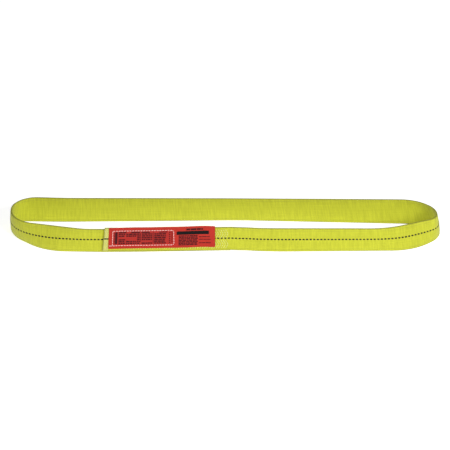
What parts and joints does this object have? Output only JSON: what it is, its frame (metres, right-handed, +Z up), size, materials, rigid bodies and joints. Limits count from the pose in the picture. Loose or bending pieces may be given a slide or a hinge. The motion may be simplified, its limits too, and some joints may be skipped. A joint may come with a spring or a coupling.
{
  "type": "endless web sling",
  "caption": "Endless flat web lifting sling: yellow-green webbing with a black tracer, ends lapped and sewn, red tag stitched over the splice, standing on edge as an open loop.",
  "frame": {"origin": "middle of the loop's footprint, on the surface that the web's lower edge rests on", "axes": "+X along the loop towards the bight without the tag, +Y from the spliced leg to the plain leg, +Z up the width of the web"},
  "size_m": [0.8658, 0.1319, 0.0545],
  "materials": {
    "webbing": "matte",
    "tracer_yarn": "matte",
    "splice_thread": "matte",
    "tag_vinyl": "satin",
    "tag_thread": "matte"
  },
  "bodies": {
    "sling": {"web_front_run": "webbing", "web_left_run": "webbing", "tracer_front": "tracer_yarn", "tracer_left": "tracer_yarn", "splice_thread_front_lower": "splice_thread", "splice_thread_front_upper": "splice_thread", "splice_thread_back_lower": "splice_thread", "splice_thread_back_upper": "splice_thread", "tag_panel": "tag_vinyl", "tag_stitches": "tag_thread"},
    "right_bight": {"web_right_bight": "webbing", "tracer_right": "tracer_yarn"},
    "tag_flap": {"tag_flap": "tag_vinyl"}
  },
  "joints": [
    {"name": "bight_twist", "type": "hinge", "parent": "sling", "child": "right_bight", "pos_m": [0.185, 0, 0.0254], "axis": [1, 0, 0], "range_deg": [-60, 60], "stiffness_Nm_per_rad": 0.08},
    {"name": "tag_lift", "type": "hinge", "parent": "sling", "child": "tag_flap", "pos_m": [-0.09783, -0.06198, 0.0309], "axis": [0, 0, -1], "range_deg": [0, 150], "stiffness_Nm_per_rad": 0.002}
  ]
}
